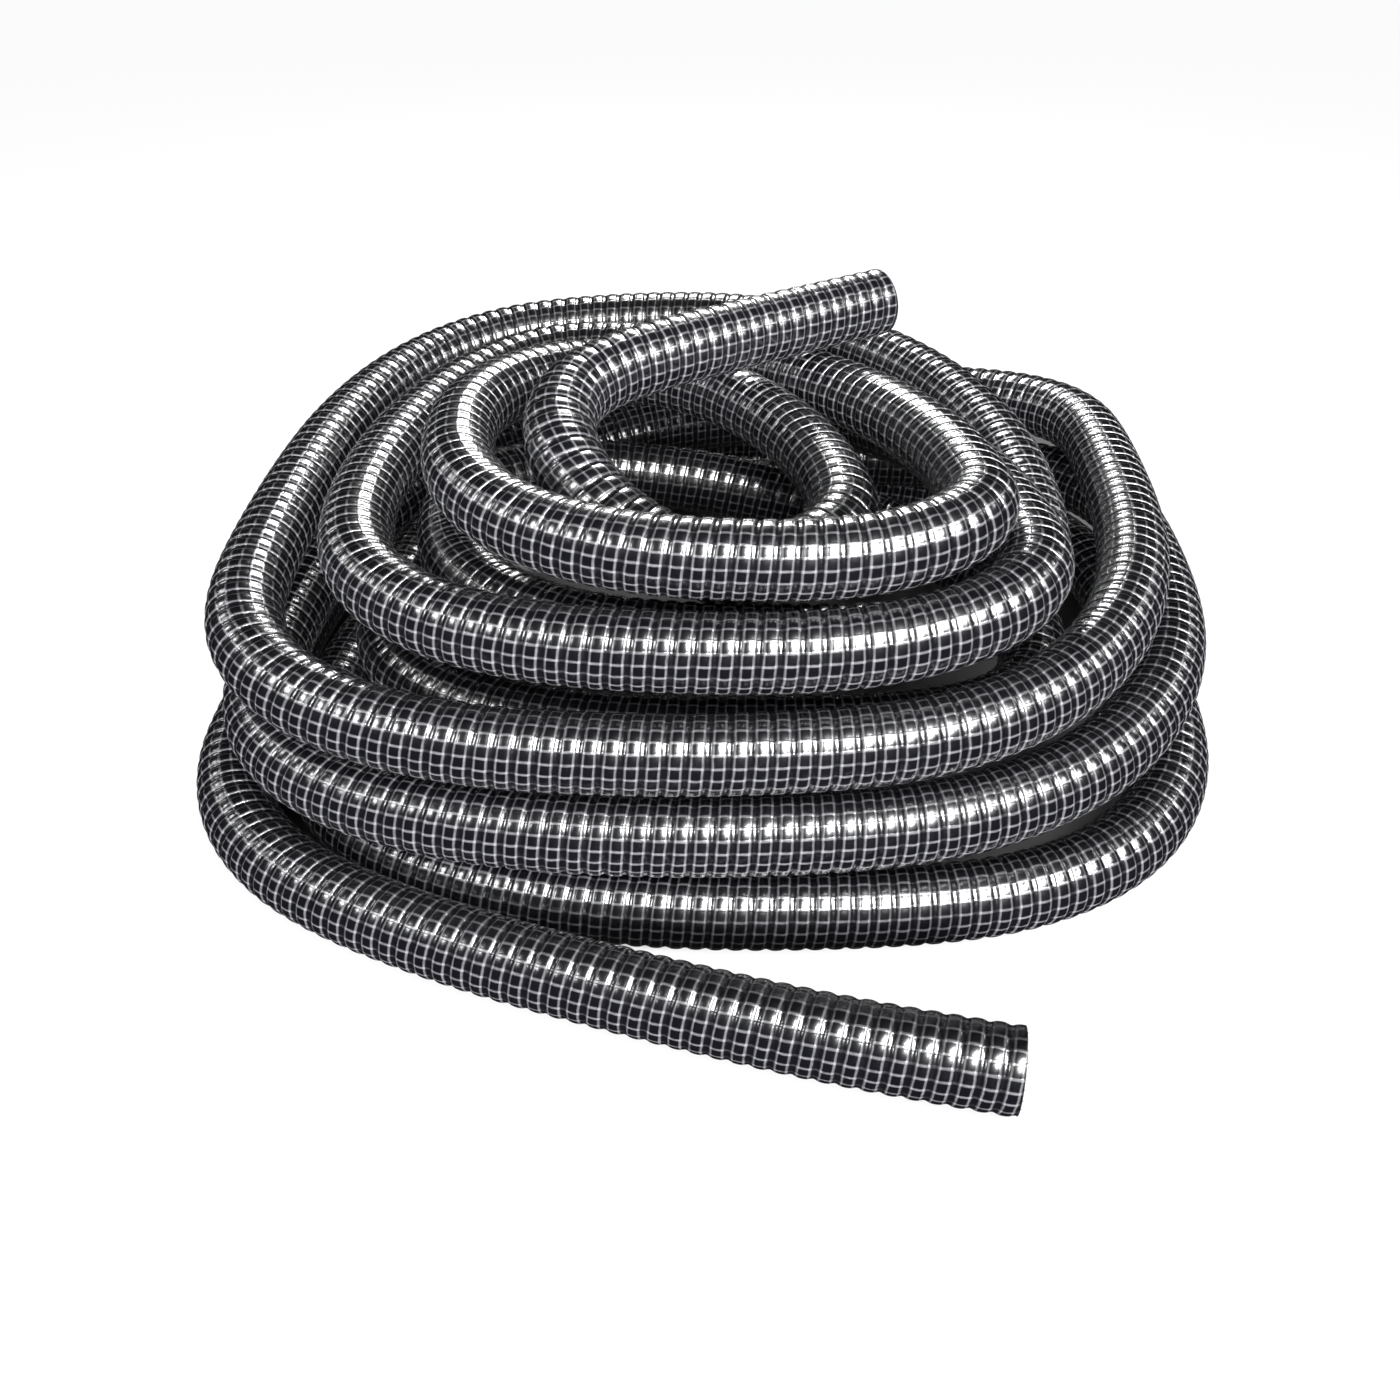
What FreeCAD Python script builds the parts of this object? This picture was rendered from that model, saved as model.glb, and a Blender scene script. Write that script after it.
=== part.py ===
"""A ribbed vacuum hose lying in a loose pile, both ends cut plain. Millimetres, +Z up.

The origin is on the floor under the middle of the pile. The near end lies on the -Y side.
"""
import FreeCAD, Part
import math
import os
from itertools import product
from FreeCAD import Placement, Rotation, Vector

os.makedirs("parts", exist_ok=True)

# The hose
bore_diameter = 38.0
wall = 3.5
floor_flat = 0.5
rib_pitch = 11.0
rib_depth = 1.3
seam_gap = 0.4

# The layers that show at the two cut ends
end_length = 66.0
liner_wall = 1.1
yarn_count = 20
yarn_diameter = 0.5
spiral_inset = 2.5
layer_clearance = 0.08

outside_diameter = bore_diameter + 2 * wall
outside_radius = outside_diameter / 2
bore_radius = bore_diameter / 2
spiral_wire = wall - liner_wall - yarn_diameter - 2 * layer_clearance
valley_radius = outside_radius - rib_depth
lying_height = outside_radius - floor_flat
straight_run = outside_diameter

# A rib's four circles: how far through its pitch each one is, and whether it is on the crest
RIB_CIRCLES = ((0.12, False), (0.34, True), (0.66, True), (0.88, False))

# The near end on the floor: the middle of its cut face and the swing seam, each with the way into the pile
near_face = Vector(151, -320, lying_height)
near_way = Vector(-98, 20, 0)
near_seam = Vector(-164, -229, lying_height)
near_seam_way = Vector(-92, 39, 0)

# The top end: the lift seam and the middle of the cut face, each with the way out of the pile
top_seam = Vector(-18, 92, 229)
top_seam_way = Vector(82, 57, 0)
top_face = Vector(118, 176, 229)
top_way = Vector(87, 49, 0)

# The pile, one row for each turn: where the hose is at its left, back, right and front, seen from the near
# end. Each place is x, y, height, and the rise that it has there over a quarter turn.
FLOOR = lying_height
TURNS = (
    ((-311, -43, FLOOR, 0), (5, 303, FLOOR, 0), (312, 47, FLOOR, 0), (27, -210, FLOOR, 0)),
    ((-261, -30, FLOOR, 0), (14, 263, 62, 27), (304, 105, 85, 0), (5, -203, 69, 0)),
    ((-258, -30, 70, 14), (14, 290, 106, 22), (277, 146, 132, 0), (-9, -192, 114, 0)),
    ((-288, -7, 141, 22), (-40, 319, 170, 18), (212, 83, 126, -36), (-9, -111, 125, 0)),
    ((-171, 38, 137, 0), (-54, 130, 119, -22), (135, 6, 82, -22), (-9, -124, 72, 0)),
    ((-209, -12, 89, 22), (18, 227, 119, 27), (188, -57, 168, 4), (18, -155, 158, 0)),
    ((-224, 11, 158, 4), (-94, 238, 168, 4), (153, -52, 198, 14), (32, -122, 198, 0)),
    ((-160, 33, 193, -4), (-58, 166, 182, -9), (81, -3, 165, -4), (0, -72, 161, 9)),
)
LAST_LEFT = (-87, 15, 220, 14)

# The way that the hose runs at the left, back, right and front of a turn
HEADINGS = (Vector(0, 1, 0), Vector(1, 0, 0), Vector(0, -1, 0), Vector(-1, 0, 0))
QUARTER_OVER_CHORD = 1.12  # a quarter turn's length over the straight line between its ends

# The spacing of the points on which the hose's gap to itself is measured
CHECK_STEP = 3.0
# Points nearer than this along the hose are neighbours in one bend
NEIGHBOUR_LENGTH = 2.6 * outside_diameter


def unit(vector):
    """The vector at length 1."""
    return Vector(vector) / vector.Length


def line(start, finish):
    return Part.LineSegment(start, finish).toShape()


def arc(start, way, finish):
    """The arc of a circle that leaves start along way and ends at finish."""
    chord = finish - start
    aside = chord - way * chord.dot(way)
    if aside.Length < 1e-6:
        return line(start, finish)
    radius = chord.dot(chord) / (2 * aside.Length)
    centre = start + unit(aside) * radius
    halfway = centre + unit((start - centre) + (finish - centre)) * radius
    return Part.Arc(start, halfway, finish).toShape()


def biarc(start, start_way, finish, finish_way):
    """Two tangent arcs with arms of one length, from one place and way to another."""
    span = finish - start
    ways = start_way + finish_way
    spread = 2 * (1 - start_way.dot(finish_way))
    reach = span.dot(ways)
    arm = (math.sqrt(reach * reach + spread * span.dot(span)) - reach) / spread
    join = (start + finish + (start_way - finish_way) * arm) / 2
    join_way = unit((finish - finish_way * arm) - (start + start_way * arm))
    return [arc(start, start_way, join), arc(join, join_way, finish)]


def pile_places():
    """Each place of the pile in order, with the way that the hose runs there."""
    places = [place for turn in TURNS for place in turn] + [LAST_LEFT]
    spots = [Vector(x, y, z) for x, y, z, rise in places]
    flat_lengths = [math.hypot(b.x - a.x, b.y - a.y) for a, b in zip(spots, spots[1:])]
    result = []
    for number, (spot, place) in enumerate(zip(spots, places)):
        before = flat_lengths[max(number - 1, 0)]
        after = flat_lengths[min(number, len(flat_lengths) - 1)]
        quarter = QUARTER_OVER_CHORD * (before + after) / 2
        climb = Vector(0, 0, place[3] / quarter)
        result.append((spot, unit(HEADINGS[number % 4] + climb)))
    return result


def route():
    """The middle line of the hose in three lists of edges: near stretch, coil and top stretch."""
    into_pile = unit(near_way)
    past_seam = unit(near_seam_way)
    inner_face = near_face + into_pile * end_length
    seam_face = near_seam - past_seam * seam_gap
    arrives = seam_face - past_seam * straight_run
    near = biarc(inner_face, into_pile, arrives, past_seam)
    near.append(line(arrives, seam_face))
    off_pile = unit(top_seam_way)
    places = [(near_seam + past_seam * straight_run, past_seam)]
    places += pile_places()
    places.append((top_seam - off_pile * straight_run, off_pile))
    coil = [line(near_seam, places[0][0])]
    for (start, start_way), (finish, finish_way) in zip(places, places[1:]):
        coil += biarc(start, start_way, finish, finish_way)
    coil.append(line(places[-1][0], top_seam))
    outwards = unit(top_way)
    inner_face = top_face - outwards * end_length
    seam_face = top_seam + off_pile * seam_gap
    leaves = seam_face + off_pile * straight_run
    top = [line(seam_face, leaves)] + biarc(leaves, off_pile, inner_face, outwards)
    return near, coil, top


def spot_on(edges, distance):
    """The place and the way at a distance along the edges."""
    for edge in edges[:-1]:
        if distance <= edge.Length:
            break
        distance -= edge.Length
    else:
        edge = edges[-1]
    where = edge.getParameterByLength(min(distance, edge.Length))
    return edge.valueAt(where), edge.tangentAt(where)


def circle(middle, way, radius):
    """A circle square to way, whose X axis is level."""
    sideways = Vector(0, 0, 1).cross(way)
    turn = Rotation(sideways, way.cross(sideways), way, "ZXY")
    ring = Part.Wire(Part.makeCircle(radius))
    ring.Placement = Placement(middle, turn)
    return ring


def hollow(outer, inner, rims):
    """The solid between two open skins, closed by a flat ring at each end."""
    faces = outer.Faces + inner.Faces
    for big, small in rims:
        faces.append(Part.Face([big, small.reversed()]))
    skin = Part.Shell(faces)
    skin.sewShape()
    solid = Part.Solid(skin)
    if solid.Volume < 0:
        solid.reverse()
    return solid


def end_rings(edges, radius):
    """The circles of one radius at the first and the last point of the edges."""
    length = sum(edge.Length for edge in edges)
    return [circle(*spot_on(edges, distance), radius) for distance in (0, length)]


def swept_tube(edges):
    """One unbroken tube with its bore, swept along the edges."""
    spine = Part.Wire(edges)
    outer_rings = end_rings(edges, outside_radius)
    inner_rings = end_rings(edges, bore_radius)
    outer = spine.makePipeShell([outer_rings[0]], False, False)
    inner = spine.makePipeShell([inner_rings[0]], False, False)
    return hollow(outer, inner, zip(outer_rings, inner_rings))


def ribbed_tube(edges):
    """A tube with its bore and its ribs, each rib a ruled loft through four circles."""
    length = sum(edge.Length for edge in edges)
    ribs = round(length / rib_pitch)
    step = length / ribs
    rings = [(0.0, valley_radius)]
    for rib in range(ribs):
        for share, crest in RIB_CIRCLES:
            rings.append(((rib + share) * step, outside_radius if crest else valley_radius))
    rings.append((length, valley_radius))
    outer = [circle(*spot_on(edges, distance), radius) for distance, radius in rings]
    inner = [circle(*spot_on(edges, distance), bore_radius) for distance, _ in rings]
    rims = [(outer[0], inner[0]), (outer[-1], inner[-1])]
    print("ribs:", ribs)
    return hollow(Part.makeLoft(outer, False, True), Part.makeLoft(inner, False, True), rims)


def on_floor(solid):
    """The solid with its underside cut flat where the hose lies on the floor."""
    box = solid.BoundBox
    if box.ZMin >= 0:
        return solid
    corner = Vector(box.XMin - outside_radius, box.YMin - outside_radius, -outside_diameter)
    width = box.XLength + outside_diameter
    depth = box.YLength + outside_diameter
    return solid.cut(Part.makeBox(width, depth, outside_diameter, corner))


def helix(length, radius):
    """A spiral about Z, of quarter-turn biarcs, that climbs one rib pitch in each turn."""
    quarters = int(length / rib_pitch * 4)
    rise = rib_pitch / 4
    places = []
    for number in range(quarters + 1):
        angle = number * math.pi / 2
        around = Vector(-math.sin(angle), math.cos(angle), 0) * (radius * math.pi / 2)
        spot = Vector(math.cos(angle) * radius, math.sin(angle) * radius, number * rise)
        places.append((spot, unit(around + Vector(0, 0, rise))))
    edges = []
    for (start, start_way), (finish, finish_way) in zip(places, places[1:]):
        edges += biarc(start, start_way, finish, finish_way)
    return edges


def cut_end():
    """The layers of a cut end, about +Z from its inner face up to its cut face: wall, spiral and yarns."""
    liner_radius = bore_radius + liner_wall
    tube = Part.makeCylinder(liner_radius, end_length).cut(Part.makeCylinder(bore_radius, end_length))
    yarn_circle = liner_radius + layer_clearance + yarn_diameter / 2
    yarns = []
    for number in range(yarn_count):
        angle = 2 * math.pi * number / yarn_count
        foot = Vector(math.cos(angle) * yarn_circle, math.sin(angle) * yarn_circle, 0)
        yarns.append(Part.makeCylinder(yarn_diameter / 2, end_length, foot))
    spiral_circle = yarn_circle + yarn_diameter / 2 + layer_clearance + spiral_wire / 2
    edges = helix(end_length - 2 * spiral_inset, spiral_circle)
    section = circle(*spot_on(edges, 0), spiral_wire / 2)
    spiral = Part.Wire(edges).makePipeShell([section], True, False)
    spiral.translate(Vector(0, 0, spiral_inset))
    return {"end": tube, "spiral": spiral, "yarns": Part.makeCompound(yarns)}


def set_end(shape, face, outwards):
    """A cut end's layer, put so that its cut face is at face and looks outwards."""
    sideways = Vector(0, 0, 1).cross(outwards)
    turn = Rotation(sideways, outwards.cross(sideways), outwards, "ZXY")
    placed = shape.copy()
    placed.Placement = Placement(face - outwards * end_length, turn)
    return placed


def least_gap(edges):
    """The smallest clear distance between two stretches of the hose, and where it is."""
    length = sum(edge.Length for edge in edges)
    count = int(length / CHECK_STEP)
    spots = [spot_on(edges, length * number / count)[0] for number in range(count + 1)]
    cells = {}
    best = (outside_diameter, spots[0], spots[0])
    skip = NEIGHBOUR_LENGTH / CHECK_STEP
    for number, spot in enumerate(spots):
        key = tuple(int(value // outside_diameter) for value in (spot.x, spot.y, spot.z))
        around = [tuple(a + b for a, b in zip(key, move)) for move in product((-1, 0, 1), repeat=3)]
        for other in (other for cell in around for other in cells.get(cell, ())):
            gap = (spot - spots[other]).Length - outside_diameter
            if number - other > skip and gap < best[0]:
                best = (gap, spots[other], spot)
        cells.setdefault(key, []).append(number)
    return best


def save(shapes):
    """Write each shape to its file, and print what it measures."""
    for name, shape in shapes.items():
        low = shape.optimalBoundingBox().ZMin
        facts = (name, len(shape.Solids), shape.isValid(), shape.Volume, low)
        print("%-14s solids %2d  valid %s  volume %.0f  low %.2f" % facts)
        shape.exportStep("parts/%s.step" % name)


near_edges, coil_edges, top_edges = route()
shapes = {
    "hose_coil": on_floor(swept_tube(coil_edges)),
    "front_stretch": on_floor(ribbed_tube(near_edges)),
    "top_stretch": ribbed_tube(top_edges),
}
layers = cut_end()
for layer, shape in layers.items():
    shapes["front_" + layer] = on_floor(set_end(shape, near_face, -unit(near_way)))
    shapes["top_" + layer] = set_end(shape, top_face, unit(top_way))
save(shapes)

whole = near_edges + coil_edges + top_edges
gap, one, other = least_gap(whole)
print("hose length: %.0f" % (sum(edge.Length for edge in whole) + 2 * end_length))
print("least gap to itself: %.2f, near (%.0f, %.0f, %.0f) and (%.0f, %.0f, %.0f)" % (gap, *one, *other))
radii = sorted(edge.Curve.Radius for edge in whole if hasattr(edge.Curve, "Radius"))
print("bend radii, smallest first:", ", ".join("%.0f" % radius for radius in radii[:8]))
box = Part.makeCompound(list(shapes.values())).optimalBoundingBox()
sides = (box.XMin, box.XMax, box.YMin, box.YMax, box.ZMin, box.ZMax)
print("box: x %.2f to %.2f, y %.2f to %.2f, z %.2f to %.2f" % sides)
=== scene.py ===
"""A length of ribbed vacuum hose that lies in a loose pile of eight turns. All sizes are in metres."""

import math

import bpy
import numpy as np
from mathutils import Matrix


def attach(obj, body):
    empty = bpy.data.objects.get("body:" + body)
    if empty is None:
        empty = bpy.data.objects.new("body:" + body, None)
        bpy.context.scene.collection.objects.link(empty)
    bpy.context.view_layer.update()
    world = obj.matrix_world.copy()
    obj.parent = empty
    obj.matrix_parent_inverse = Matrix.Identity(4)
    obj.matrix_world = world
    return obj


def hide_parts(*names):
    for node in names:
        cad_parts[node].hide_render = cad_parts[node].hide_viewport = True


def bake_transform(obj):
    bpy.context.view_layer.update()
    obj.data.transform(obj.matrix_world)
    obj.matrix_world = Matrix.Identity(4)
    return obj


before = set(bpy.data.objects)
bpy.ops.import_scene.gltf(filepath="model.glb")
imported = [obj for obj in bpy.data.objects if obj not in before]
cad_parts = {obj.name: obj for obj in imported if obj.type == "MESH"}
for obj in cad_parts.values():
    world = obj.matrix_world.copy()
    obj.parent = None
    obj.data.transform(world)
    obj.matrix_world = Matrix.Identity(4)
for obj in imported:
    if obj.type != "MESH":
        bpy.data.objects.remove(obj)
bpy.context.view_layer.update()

TURN = 2 * math.pi

# ---- The hose's own sizes
CREST_RADIUS = 0.0225
BORE_RADIUS = 0.019
RIB_DEPTH = 0.0011
RIB_PITCH = 0.011
YARNS_AROUND = 20
CROSS_YARN_SHARE = 0.28  # how far the crosswise yarns lie from a rib's crest, in pitches

# ---- The layers inside each cut end
END_LENGTH = 0.066
LINER_RADIUS = 0.0201
COVER_BORE = 0.02072
YARN_CIRCLE = 0.02043
YARN_RADIUS = 0.00025
YARN_LAY = 0.0018
YARN_PROUD = 0.0003
YARN_PROUD_MORE = 0.00025

# ---- How finely the hose is drawn
COLUMNS = 48
YARN_SIDES = 8
YARN_ROWS = 13
RIB_ROWS = (0.0, 0.035, 0.075, 0.12, 0.18, 0.27, 0.42, 0.58, 0.73, 0.82, 0.88, 0.925, 0.965)
KEYS_PER_METRE = 1e7  # points that round to the same key are one
SLIGHT = 1e-6
PATH_STEP = 0.004
LEAST_PATH_POINTS = 8
NET_MAP = "net"

# ---- The route: the tail from the cut face near the camera, the stations of the pile and the top end
TAIL = (
    (0.1503, -0.3200, 0.022),
    (0.1058, -0.3110, 0.022),
    (0.0536, -0.2988, 0.022),
    (-0.0004, -0.2839, 0.022),
    (-0.0626, -0.2645, 0.022),
    (-0.1166, -0.2465, 0.022),
    (-0.1634, -0.2278, 0.022),
    (-0.2146, -0.2033, 0.022),
    (-0.2565, -0.1742, 0.022),
    (-0.2878, -0.1362, 0.022),
    (-0.3052, -0.0920, 0.022),
)
# Each station is x, y, height, its climb over a quarter turn and the fullness of the quarter that follows it. The
# order is left, back, right and front of each turn.
STATIONS = (
    (-0.310, -0.043, 0.0220, 0.000, 0.62),
    (0.005, 0.303, 0.0220, 0.000, 0.66),
    (0.309, 0.047, 0.0220, 0.000, 0.69),
    (0.027, -0.2125, 0.0220, 0.000, 0.85),
    (-0.260, -0.030, 0.0220, 0.000, 1.00),
    (0.014, 0.263, 0.0616, 0.027, 0.76),
    (0.311, 0.105, 0.083, 0.000, 0.77),
    (0.005, -0.203, 0.0693, 0.000, 0.80),
    (-0.289, -0.030, 0.0702, 0.013, 0.86),
    (0.014, 0.290, 0.1057, 0.031, 0.80),
    (0.285, 0.159, 0.129, 0.000, 0.73),
    (-0.009, -0.189, 0.1147, 0.000, 0.72),
    (-0.281, -0.038, 0.1412, 0.022, 0.70),
    (-0.040, 0.316, 0.163, 0.018, 0.95),
    (0.219, 0.069, 0.1246, -0.070, 0.80),
    (-0.009, -0.113, 0.137, 0.013, 0.90),
    (-0.171, 0.038, 0.1368, 0.000, 1.00),
    (-0.054, 0.130, 0.1187, -0.022, 1.12),
    (0.212, 0.006, 0.071, -0.022, 0.74),
    (-0.009, -0.134, 0.087, 0.000, 0.90),
    (-0.209, -0.012, 0.092, 0.022, 1.00),
    (0.018, 0.227, 0.1187, 0.027, 1.00),
    (0.188, -0.057, 0.1651, 0.013, 0.87),
    (0.018, -0.155, 0.158, 0.000, 0.80),
    (-0.224, 0.011, 0.1579, 0.004, 1.00),
    (-0.094, 0.238, 0.1678, 0.004, 1.10),
    (0.153, -0.052, 0.1984, 0.013, 0.90),
    (0.032, -0.122, 0.1955, 0.000, 0.85),
    (-0.160, 0.033, 0.1975, -0.004, 1.00),
    (-0.058, 0.166, 0.1817, -0.009, 1.10),
    (0.081, -0.007, 0.1660, -0.004, 1.00),
    (-0.004, -0.077, 0.1660, 0.027, 1.00),
    (-0.094, 0.006, 0.2155, 0.018, 1.00),
)
TOP = (
    (-0.0887, 0.0356, 0.2209),
    (-0.0693, 0.0580, 0.2254),
    (-0.0401, 0.0783, 0.2281),
    (0.0185, 0.1166, 0.2281),
    (0.0590, 0.1413, 0.2281),
    (0.0882, 0.1593, 0.2281),
    (0.1175, 0.1773, 0.2281),
)
POINTS_IN_QUARTER = 6
SPLINE_STEPS = 40


# ---- The centreline


def quarter(start, finish, along_y):
    """The points of a quarter turn. In plan x = o + a cos(t)^m + b sin(t)^m about the corner o opposite to the
    quarter's own corner, and likewise y; the height is the cubic that has both ends' heights and climbs."""
    share = np.arange(POINTS_IN_QUARTER) / POINTS_IN_QUARTER
    fullness = start[4]
    leaving = np.cos(share * math.pi / 2) ** fullness
    arriving = np.sin(share * math.pi / 2) ** fullness
    corner = np.array((start[0], finish[1]) if along_y else (finish[0], start[1]))
    near, far = np.array(start[:2]), np.array(finish[:2])
    middle = near + far - corner
    plan = middle + (near - middle) * leaving[:, None] + (far - middle) * arriving[:, None]
    square, cube = share**2, share**3
    height = (2 * cube - 3 * square + 1) * start[2] + (cube - 2 * square + share) * start[3]
    height += (3 * square - 2 * cube) * finish[2] + (cube - square) * finish[3]
    return np.column_stack((plan, height))


def control_points():
    """The spline's control points, from the cut face near the camera to the one on top."""
    pairs = zip(STATIONS, STATIONS[1:])
    turns = [quarter(start, finish, number % 2 == 0) for number, (start, finish) in enumerate(pairs)]
    return np.vstack((TAIL, *turns, STATIONS[-1][:3], TOP))


def spline_line(points):
    """The line of a NURBS spline of order 3 through its end points, as Blender draws it with no bevel."""
    curve = bpy.data.curves.new("hose_route", "CURVE")
    curve.dimensions = "3D"
    curve.resolution_u = SPLINE_STEPS
    spline = curve.splines.new("NURBS")
    spline.points.add(len(points) - 1)
    spline.points.foreach_set("co", np.column_stack((points, np.ones(len(points)))).ravel())
    spline.order_u = 3
    spline.use_endpoint_u = True
    route = bpy.data.objects.new("hose_route", curve)
    drawn = bpy.data.meshes.new_from_object(route)
    line = np.empty(len(drawn.vertices) * 3)
    drawn.vertices.foreach_get("co", line)
    bpy.data.objects.remove(route)
    bpy.data.curves.remove(curve)
    bpy.data.meshes.remove(drawn)
    return line.reshape(-1, 3)


def lengths(vectors):
    """The square root of the sum of squares of each row."""
    return np.linalg.norm(vectors, axis=-1, keepdims=True)


LINE = spline_line(control_points())
MARKS = np.concatenate(([0.0], np.cumsum(lengths(np.diff(LINE, axis=0)))))
WAYS = np.gradient(LINE, MARKS, axis=0)
HOSE_LENGTH = MARKS[-1]


def spot(distance):
    """The centre at each distance along the hose, and three ways there: along it, level to its left, and up.
    Past its ends the line goes on straight."""
    centre = np.stack([np.interp(distance, MARKS, LINE[:, axis]) for axis in range(3)], axis=-1)
    along = np.stack([np.interp(distance, MARKS, WAYS[:, axis]) for axis in range(3)], axis=-1)
    along /= lengths(along)
    centre += along * (distance - np.clip(distance, 0.0, HOSE_LENGTH))[..., None]
    left = np.cross((0.0, 0.0, 1.0), along)
    left /= lengths(left)
    return centre, along, left, np.cross(along, left)


def around(distance, angle, radius):
    """Points at a radius about the centreline: c + r (cos a left + sin a up), and never under the floor."""
    centre, along, left, upper = spot(distance)
    ray = np.cos(angle)[..., None] * left + np.sin(angle)[..., None] * upper
    points = centre + np.asarray(radius)[..., None] * ray
    points[..., 2] = np.maximum(points[..., 2], 0.0)
    return points


# ---- Surfaces


def make_piece(name, patches, finishes):
    """A mesh of grids of points whose equal points are one. Each patch is a grid, its pattern coordinates,
    which finish it has, and whether it is smooth. A face looks towards (next column) x (next row)."""
    points, patterns, corners, kinds, smooth = [], [], [], [], []
    first = 0
    for grid, pattern, kind, is_smooth in patches:
        rows, columns = grid.shape[:2]
        number = first + np.arange(rows * columns).reshape(rows, columns)
        a, b, c, d = number[:-1, :-1], number[:-1, 1:], number[1:, 1:], number[1:, :-1]
        faces = np.stack((a, b, c, a, c, d), axis=-1).reshape(-1, 3)
        points.append(grid.reshape(-1, 3))
        patterns.append(pattern.reshape(-1, 2))
        corners.append(faces)
        kinds.append(np.full(len(faces), kind))
        smooth.append(np.full(len(faces), is_smooth))
        first += rows * columns
    points, patterns, corners = np.vstack(points), np.vstack(patterns), np.vstack(corners)
    kinds, smooth = np.concatenate(kinds), np.concatenate(smooth)
    keys = np.round(points * KEYS_PER_METRE).astype(np.int64)
    _, chosen, same = np.unique(keys, axis=0, return_index=True, return_inverse=True)
    faces = same.reshape(-1)[corners]
    whole = (faces[:, 0] != faces[:, 1]) & (faces[:, 1] != faces[:, 2]) & (faces[:, 2] != faces[:, 0])
    faces, corners, kinds, smooth = faces[whole], corners[whole], kinds[whole], smooth[whole]
    mesh = bpy.data.meshes.new(name)
    mesh.vertices.add(len(chosen))
    mesh.vertices.foreach_set("co", points[chosen].ravel())
    mesh.loops.add(faces.size)
    mesh.loops.foreach_set("vertex_index", faces.ravel())
    mesh.polygons.add(len(faces))
    mesh.polygons.foreach_set("loop_start", np.arange(len(faces)) * 3)
    mesh.polygons.foreach_set("material_index", kinds)
    mesh.polygons.foreach_set("use_smooth", smooth)
    mesh.uv_layers.new(name=NET_MAP).data.foreach_set("uv", patterns[corners].ravel())
    mesh.update()
    mesh.validate()
    for finish in finishes:
        mesh.materials.append(finish)
    piece = bpy.data.objects.new(name, mesh)
    bpy.context.scene.collection.objects.link(piece)
    return piece


ANGLES = np.arange(COLUMNS + 1) / COLUMNS * TURN


def level(distance, radius):
    """A ring of one radius, or of one radius for each angle, square to the hose."""
    angles = np.append(ANGLES[:-1], 0.0)
    return around(np.full(COLUMNS + 1, distance), angles, np.broadcast_to(radius, COLUMNS + 1))


def rib_radius(distance, angle):
    """The outside: R - d |cos(pi t)|^4, where t counts the ribs along a left-handed spiral."""
    turns = distance / RIB_PITCH + angle / TURN
    return CREST_RADIUS - RIB_DEPTH * np.abs(np.cos(math.pi * turns)) ** 4


def yarn_twist(distance):
    """How far the lengthwise yarns have wandered round the hose, in yarn spaces."""
    return 0.5 * np.sin(distance * 3.1) + 0.3 * np.sin(distance * 7.3 + 1.0)


def ribbed_skin(first, last):
    """The ribbed outside between two distances. Its rows follow the spiral: row t of column a is at the
    distance p (t - a / turn), kept between the two ends."""
    whole_turns = np.arange(math.floor(first / RIB_PITCH) - 1, math.ceil(last / RIB_PITCH) + 2)
    rows = (whole_turns[:, None] + np.array(RIB_ROWS)).ravel()
    distance = np.clip(RIB_PITCH * (rows[:, None] - ANGLES / TURN), first, last)
    angle = np.broadcast_to(ANGLES, distance.shape)
    place = np.where(angle == TURN, 0.0, angle)
    points = around(distance, place, rib_radius(distance, place))
    turns = distance / RIB_PITCH + angle / TURN
    yarns = angle / TURN * YARNS_AROUND + yarn_twist(distance)
    return points, np.stack((yarns, turns), axis=-1)


def plain_rows(distances, radii):
    """Rings at the given distances, each of its radius, with the angle and the distance as the pattern."""
    points = np.stack([level(distance, radius) for distance, radius in zip(distances, radii)])
    pattern = np.stack(np.broadcast_arrays(ANGLES / TURN, np.array(distances)[:, None] / RIB_PITCH), axis=-1)
    return points, pattern


def hose_piece(name, first, last, finishes, cut=None):
    """A hollow length of hose: the ribbed outside, a ring at each end and the bore. Next to a cut end the
    bore widens to leave room for the yarns and the liner."""
    steps = np.linspace(first, last, round((last - first) / RIB_PITCH) + 1)
    radii = np.full(len(steps), BORE_RADIUS)
    if cut is not None:
        inside = np.sort(np.append(steps, (cut - END_LENGTH, cut + END_LENGTH)))
        steps = inside[(inside >= first) & (inside <= last)]
        radii = np.where(np.abs(steps - cut) < END_LENGTH + SLIGHT, COVER_BORE, BORE_RADIUS)
    ends = rib_radius(np.array([[first], [last]]), np.append(ANGLES[:-1], 0.0))
    bore, bore_pattern = plain_rows(steps[::-1], radii[::-1])
    near, near_pattern = plain_rows((first, first), (radii[0], ends[0]))
    far, far_pattern = plain_rows((last, last), (ends[1], radii[-1]))
    patches = [
        (*ribbed_skin(first, last), 0, True),
        (bore, bore_pattern, 1, True),
        (near, near_pattern, 1, False),
        (far, far_pattern, 1, False),
    ]
    return make_piece(name, patches, finishes)


def liner_piece(name, first, last, finish):
    """The plain tube inside a cut end, from the bore out to the yarns."""
    steps = np.linspace(first, last, 2 * round((last - first) / RIB_PITCH) + 1)
    patches = [
        (*plain_rows(steps, np.full(len(steps), LINER_RADIUS)), 0, True),
        (*plain_rows(steps[::-1], np.full(len(steps), BORE_RADIUS)), 0, True),
        (*plain_rows((first, first), (BORE_RADIUS, LINER_RADIUS)), 0, False),
        (*plain_rows((last, last), (LINER_RADIUS, BORE_RADIUS)), 0, False),
    ]
    return make_piece(name, patches, (finish,))


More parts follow.
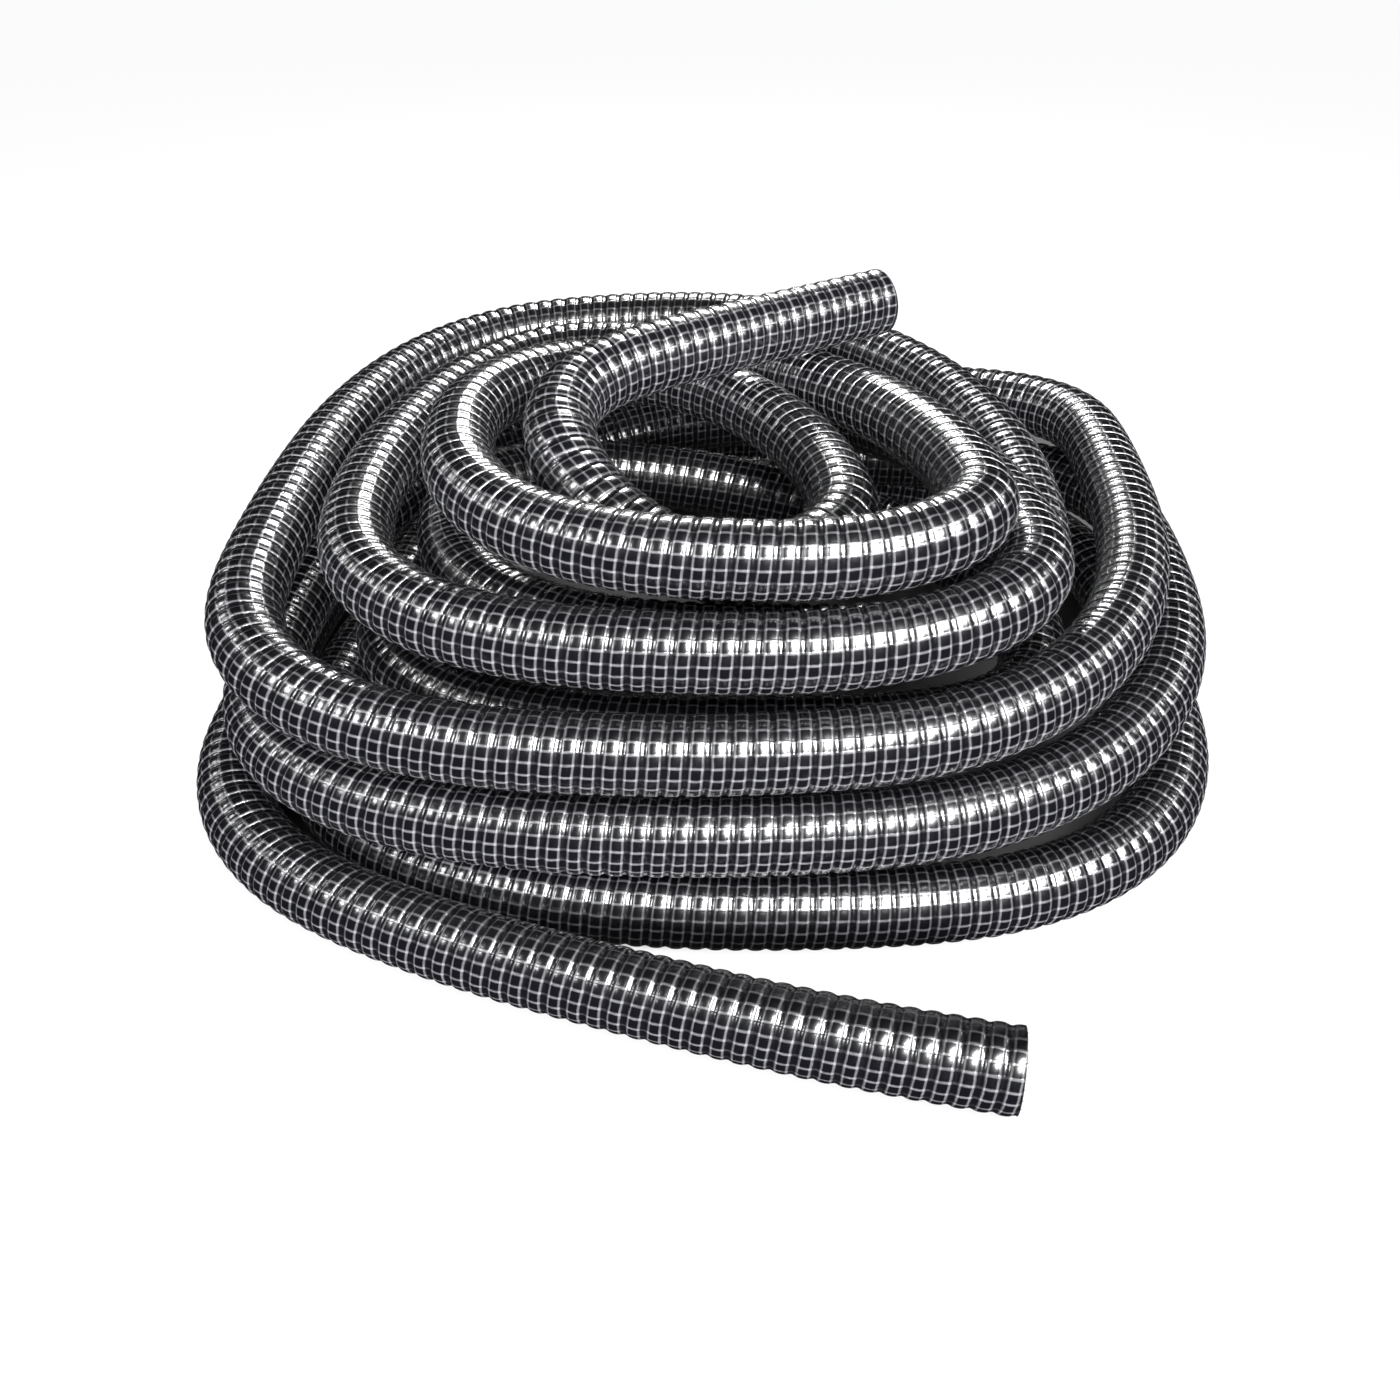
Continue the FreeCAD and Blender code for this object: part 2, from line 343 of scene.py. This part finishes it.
def yarn_patch(angle, first, last):
    """One round lengthwise yarn with a flat cap at each end: its side b is at the angle a + q sin(b) / c and the
    radius c + q cos(b), with q the yarn's radius, or 0 in the middle of a cap, and c the circle's."""
    steps = np.concatenate(([first], np.linspace(first, last, YARN_ROWS), [last]))
    thickness = np.full((len(steps), 1), YARN_RADIUS)
    thickness[[0, -1]] = 0.0
    side = np.append(np.arange(YARN_SIDES), 0) / YARN_SIDES * TURN
    place = angle + thickness * np.sin(side) / YARN_CIRCLE
    points = around(np.broadcast_to(steps[:, None], place.shape), place, YARN_CIRCLE + thickness * np.cos(side))
    pattern = np.stack(np.broadcast_arrays(side / TURN, steps[:, None] / YARN_LAY), axis=-1)
    return points, pattern, 0, True


def yarns_piece(name, cut, inwards, finish):
    """The lengthwise yarns inside a cut end. Yarn k stands a + b (1 + sin(2.4 k)) proud of the cut."""
    numbers = np.arange(YARNS_AROUND)
    proud = YARN_PROUD + YARN_PROUD_MORE * (1 + np.sin(2.4 * numbers))
    ends = np.sort(np.stack((cut - inwards * proud, np.full(YARNS_AROUND, cut + inwards * END_LENGTH))), axis=0)
    angles = (numbers + 0.5) / YARNS_AROUND * TURN
    return make_piece(name, [yarn_patch(*yarn) for yarn in zip(angles, *ends)], (finish,))


# ---- Finishes

OBJECT_COORDINATES = 3  # the output of a Texture Coordinate node
MM_IN_METRE = 1000
DEEP_VINYL = (0.0035, 0.0035, 0.0055, 1)
CLEAR_VINYL = (0.0085, 0.0085, 0.0118, 1)
YARN_THROUGH_VINYL = (0.38, 0.38, 0.405, 1)
DULL_VINYL = (0.006, 0.006, 0.008, 1)
GREY_VINYL = (0.020, 0.020, 0.024, 1)
YARN_HOLLOW_SHADE = (0.16, 0.16, 0.17, 1)
YARN_STRAND = (0.42, 0.42, 0.44, 1)


class Value:
    """A socket's value in an expression: each operator adds a Math node."""

    def __init__(self, finish, socket):
        self.finish, self.socket = finish, socket

    def math(self, operation, *values):
        return self.finish.node("ShaderNodeMath", {"operation": operation}, dict(enumerate(values)))

    def output(self, number):
        return Value(self.finish, self.socket.node.outputs[number])

    def __add__(self, other):
        return self.math("ADD", self, other)

    __radd__ = __add__

    def __sub__(self, other):
        return self.math("SUBTRACT", self, other)

    def __rsub__(self, other):
        return self.math("SUBTRACT", other, self)

    def __mul__(self, other):
        return self.math("MULTIPLY", self, other)

    __rmul__ = __mul__

    def fraction(self):
        return self.math("FRACT", self)

    def size(self):
        return self.math("ABSOLUTE", self)

    def power(self, other):
        return self.math("POWER", self, other)

    def greater(self, other):
        return self.math("MAXIMUM", self, other)

    def smaller(self, other):
        return self.math("MINIMUM", self, other)

    def wave(self):
        return self.math("SINE", self)

    def ease(self, low, high, at_low=0.0, at_high=1.0):
        """A smooth step from at_low, where the value is low, to at_high, where it is high."""
        settings = {"interpolation_type": "SMOOTHSTEP"}
        values = {0: self, 1: low, 2: high, 3: at_low, 4: at_high}
        return self.finish.node("ShaderNodeMapRange", settings, values)


class Finish:
    """A material and the nodes of it."""

    def __init__(self, name):
        self.material = bpy.data.materials.new(name)
        self.material.use_nodes = True
        self.tree = self.material.node_tree
        self.shader = self.tree.nodes["Principled BSDF"]

    def node(self, kind, settings=None, values=None, output=0):
        """A node of a kind, with its settings made first, and then the values or links of its sockets."""
        made = self.tree.nodes.new(kind)
        for name, setting in (settings or {}).items():
            setattr(made, name, setting)
        for name, value in (values or {}).items():
            self.feed(made.inputs[name], value)
        return Value(self, made.outputs[output])

    def feed(self, socket, value):
        if isinstance(value, Value):
            self.tree.links.new(value.socket, socket)
        else:
            socket.default_value = value

    def set(self, **values):
        for name, value in values.items():
            self.feed(self.shader.inputs[name.replace("_", " ")], value)

    def place(self):
        return self.node("ShaderNodeTexCoord", output=OBJECT_COORDINATES)

    def pattern(self):
        """The pattern's x, whose output 1 is its y."""
        return self.node("ShaderNodeSeparateXYZ", values={0: self.node("ShaderNodeUVMap", {"uv_map": NET_MAP})})

    def noise(self, scale, detail=2.0, roughness=0.5):
        place = self.place()
        values = {"Vector": place, "Scale": scale, "Detail": detail, "Roughness": roughness}
        return self.node("ShaderNodeTexNoise", {"noise_dimensions": "3D"}, values)

    def mix(self, share, one, other):
        settings = {"data_type": "RGBA", "clamp_factor": True}
        return self.node("ShaderNodeMix", settings, {0: share, 6: one, 7: other}, output=2)

    def bump(self, height, distance, strength=1.0):
        return self.node("ShaderNodeBump", values={"Height": height, "Distance": distance, "Strength": strength})


def cover_finish():
    """Black glossy vinyl over a net of pale yarn. The pattern's x counts the lengthwise yarns and its y the ribs.
    The distances from the nearest yarns, beside and across, are in millimetres."""
    finish = Finish("hose_cover")
    parts = finish.pattern()
    wander = finish.noise(45.0, 1.0) - 0.5
    yarns = parts + 0.16 * wander + 0.10 * (finish.noise(170.0, 1.0) - 0.5)
    ribs = parts.output(1) + 0.07 * (finish.noise(70.0, 1.0) - 0.5) + 0.05 * (finish.noise(190.0, 1.0) - 0.5)
    space = TURN * CREST_RADIUS / YARNS_AROUND * MM_IN_METRE
    beside = (yarns.fraction() - 0.5).size() * space
    from_crest = (ribs.fraction() - 0.5).size()
    across = (from_crest - CROSS_YARN_SHARE).size() * (RIB_PITCH * MM_IN_METRE)
    valley = from_crest.ease(0.29, 0.35)
    twist = (yarns * (space * 5.0) + parts.output(1) * 55.0).wave() * 0.5 + 0.5
    patchy = finish.noise(260.0, 3.0)
    # The lengthwise yarns fade to a fifth of their brightness in the ribs' valleys: painted shade in the grooves.
    lengthwise = beside.ease(0.30, 1.05, 1.0, 0.0) * valley.ease(0.0, 1.0, 1.0, 0.20)
    crossing = across.ease(0.25, 0.92, 1.0, 0.0) * 0.9
    knot = beside.ease(0.40, 1.10, 1.0, 0.0) * across.ease(0.40, 1.10, 1.0, 0.0)
    net = lengthwise.greater(crossing)
    shade = net * (0.42 + 0.16 * twist + 0.80 * (patchy - 0.5)) + 0.60 * knot
    vinyl = finish.mix(finish.noise(30.0, 4.0), DEEP_VINYL, CLEAR_VINYL)
    colour = finish.mix(shade, vinyl, YARN_THROUGH_VINYL)
    raised = 0.5 * (beside.ease(0.10, 1.25, 1.0, 0.0) + across.ease(0.10, 1.2, 1.0, 0.0)) - 2.0 * valley
    fine = finish.noise(900.0, 3.0, 0.6)
    height = raised + 0.5 * knot + 0.08 * fine + 0.06 * (net * twist)
    finish.set(
        Base_Color=colour,
        Roughness=0.22 + 0.10 * (finish.noise(90.0, 4.0) - 0.5) + 0.06 * net,
        IOR=1.5,
        Normal=finish.bump(height, 0.00015),
    )
    return finish.material


def inside_finish():
    """The bore and the cut wall: black vinyl without the gloss, with the faint spiral of the ribs."""
    finish = Finish("hose_inside")
    patchy = finish.noise(120.0, 4.0)
    parts = finish.pattern()
    spiral = ((parts + parts.output(1)) * TURN).wave()
    finish.set(
        Base_Color=finish.mix(patchy, DULL_VINYL, GREY_VINYL),
        Roughness=0.45 + 0.2 * (patchy - 0.5),
        Normal=finish.bump(spiral * 0.5 + finish.noise(1500.0, 3.0), 0.0002),
    )
    return finish.material


def yarn_finish():
    """A twisted pale yarn, painted darker in the hollows between its strands as painted shade."""
    finish = Finish("hose_yarn")
    parts = finish.pattern()
    strands = ((parts * 3.0 + parts.output(1)) * TURN).wave() * 0.5 + 0.5
    patchy = finish.noise(900.0, 3.0)
    # The colour runs from the strands down to painted shade in the hollows between them; the noise adds random tone.
    shade = 0.75 * strands + 0.5 * (patchy - 0.3)
    height = strands + 0.3 * finish.noise(2500.0, 2.0)
    finish.set(
        Base_Color=finish.mix(shade, YARN_HOLLOW_SHADE, YARN_STRAND),
        Roughness=0.7 + 0.2 * (patchy - 0.5),
        Normal=finish.bump(height, 0.00008),
    )
    return finish.material


COVER = cover_finish()
INSIDE = inside_finish()
YARN = yarn_finish()

# ---- The hose in lengths

NEAR_LAST = 0.50
TOP_FIRST = HOSE_LENGTH - 0.30
COIL_LENGTHS = 7


def declare(first, last, backwards=False):
    """Works out the hose's centre every 4 mm between two distances, which nothing then uses."""
    path = np.linspace(first, last, max(LEAST_PATH_POINTS, round((last - first) / PATH_STEP)))
    points = spot(path[::-1] if backwards else path)[0]


def inner_layers(end, body, cut, inwards):
    """The liner and the yarns inside a cut end, which stand for the solid ones of that end."""
    liner = liner_piece(end + "_liner", *sorted((cut, cut + inwards * END_LENGTH)), INSIDE)
    yarns = yarns_piece(end + "_cut_yarns", cut, inwards, YARN)
    for piece, slot, node in ((liner, "hose_wall", end + "_end"), (yarns, "yarn", end + "_yarns")):
        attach(piece, body)
        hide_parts(node)
    return liner, yarns


bounds = np.linspace(NEAR_LAST, TOP_FIRST, COIL_LENGTHS + 1)
for number, (first, last) in enumerate(zip(bounds, bounds[1:]), 1):
    length = hose_piece("coil_length_%d" % number, first, last, (COVER, INSIDE))
    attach(length, "root")
    if number == 1:
        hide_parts("hose_coil")
    declare(first, last)

near_length = hose_piece("front_length", 0.0, NEAR_LAST, (COVER, INSIDE), cut=0.0)
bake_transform(near_length)
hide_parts("front_stretch", "front_spiral")
near_layers = inner_layers("front", "near_end", 0.0, 1)
declare(0.0, NEAR_LAST, backwards=True)

top_length = hose_piece("top_length", TOP_FIRST, HOSE_LENGTH, (COVER, INSIDE), cut=HOSE_LENGTH)
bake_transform(top_length)
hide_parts("top_stretch", "top_spiral")
top_layers = inner_layers("top", "top_end", HOSE_LENGTH, -1)
declare(TOP_FIRST, HOSE_LENGTH)


# ---- Floor, light and camera

PAINTED_SHADOW_PAPER = (0.050, 0.050, 0.052, 1)
PAINTED_SHADOW_PAPER_PALER = (0.060, 0.060, 0.062, 1)
NO_GLOW_IN_PAINTED_SHADOW = (0.0, 0.0, 0.0, 1)
GLOW = (0.93, 0.93, 0.935, 1)
PILE_MIDDLE = (0.0, 0.0, 0.1)
CAMERA_PLACE = (-0.00855, -0.7227, 0.55525)
CAMERA_TILT = 53.0
LENS = 33.43
SENSOR = 36.0


def floor_finish():
    """Dark matt paper that glows pale, apart from under the pile and behind its right side, where it is left dark as
    a painted shadow. Each of these two painted shadows is the inside of |(x - p) / a|^3 + |(y - q) / b|^3 = 1."""
    finish = Finish("pale_floor")
    place = finish.node("ShaderNodeSeparateXYZ", values={0: finish.place()})

    def beyond(half_width, half_depth, middle_x, middle_y):
        across = ((place - middle_x) * (1 / half_width)).size().power(3.0)
        along = ((place.output(1) - middle_y) * (1 / half_depth)).size().power(3.0)
        return (across + along).ease(0.88, 1.03)

    # The glow is off in both places, so the dark paper shows there as a painted shadow.
    floor_beyond_painted_shadow = beyond(0.310, 0.270, 0.0, 0.05).smaller(beyond(0.200, 0.220, 0.17, 0.27))
    colour = finish.mix(finish.noise(3.0, 2.0), PAINTED_SHADOW_PAPER, PAINTED_SHADOW_PAPER_PALER)
    light = finish.mix(floor_beyond_painted_shadow, NO_GLOW_IN_PAINTED_SHADOW, GLOW)
    finish.set(Base_Color=colour, Roughness=0.8, Emission_Color=light, Emission_Strength=1.0)
    return finish.material


def make_floor():
    """A square of the given half width, centred under the pile."""
    half = 8.0
    corners = [(-half, -half, 0), (half, -half, 0), (half, half, 0), (-half, half, 0)]
    mesh = bpy.data.meshes.new("floor")
    mesh.from_pydata(corners, [], [(0, 1, 2, 3)])
    mesh.materials.append(floor_finish())
    floor = bpy.data.objects.new("floor", mesh)
    bpy.context.scene.collection.objects.link(floor)
    floor.visible_glossy = False
    floor.visible_diffuse = False


def make_light(name, place, width, height, power):
    """A soft light that looks from its place to the middle of the pile, and makes gloss alone."""
    light = bpy.data.lights.new(name, "AREA")
    light.shape = "RECTANGLE"
    light.size = width
    light.size_y = height
    light.energy = power
    lamp = bpy.data.objects.new(name, light)
    lamp.visible_diffuse = False
    way = np.array(PILE_MIDDLE) - np.array(place)
    lamp.location = place
    lamp.rotation_euler = (
        math.atan2(math.hypot(way[0], way[1]), -way[2]),
        0.0,
        math.atan2(way[1], way[0]) - math.pi / 2,
    )
    bpy.context.scene.collection.objects.link(lamp)


def make_sun(name, direction, strength, spread):
    """An even light from a direction, which lights the floor as far as it is seen and makes no gloss."""
    light = bpy.data.lights.new(name, "SUN")
    light.energy = strength
    light.angle = math.radians(spread)
    lamp = bpy.data.objects.new(name, light)
    lamp.visible_glossy = False
    x, y, z = direction
    lamp.rotation_euler = (math.atan2(math.hypot(x, y), z), 0.0, math.atan2(-y, -x) - math.pi / 2)
    bpy.context.scene.collection.objects.link(lamp)


def make_room_light(colour, strength):
    """An even light from all sides."""
    world = bpy.data.worlds.new("room")
    world.use_nodes = True
    background = world.node_tree.nodes["Background"]
    background.inputs["Color"].default_value = colour
    background.inputs["Strength"].default_value = strength
    bpy.context.scene.world = world


def make_camera():
    """The photograph's angle: it looks down 37 degrees, from a point just over half a metre up."""
    lens = bpy.data.cameras.new("camera")
    lens.lens = LENS
    lens.sensor_width = SENSOR
    camera = bpy.data.objects.new("camera", lens)
    camera.location = CAMERA_PLACE
    camera.rotation_euler = (math.radians(CAMERA_TILT), 0.0, 0.0)
    bpy.context.scene.collection.objects.link(camera)
    bpy.context.scene.camera = camera


make_floor()
make_light("key", (0.46, -0.98, 1.32), 0.62, 0.58, 190.0)
make_light("back", (0.0, 1.45, 1.05), 0.50, 0.35, 52.0)
make_light("front_left", (-1.15, -0.65, 1.20), 0.50, 0.30, 26.0)
make_light("front_right", (1.15, -0.65, 1.20), 0.50, 0.30, 40.0)
make_light("left_side", (-1.40, 0.45, 0.90), 0.26, 0.18, 5.0)
make_light("right_side", (1.40, 0.45, 0.90), 0.26, 0.18, 5.0)
make_sun("low_front", (0.12, -0.98, 0.06), 8.6, 36.0)
make_sun("high_front", (0.00, -0.60, 0.70), 0.6, 30.0)
make_room_light((1.0, 1.0, 1.0, 1.0), 0.02)
make_camera()
bpy.context.scene.view_settings.view_transform = "Standard"
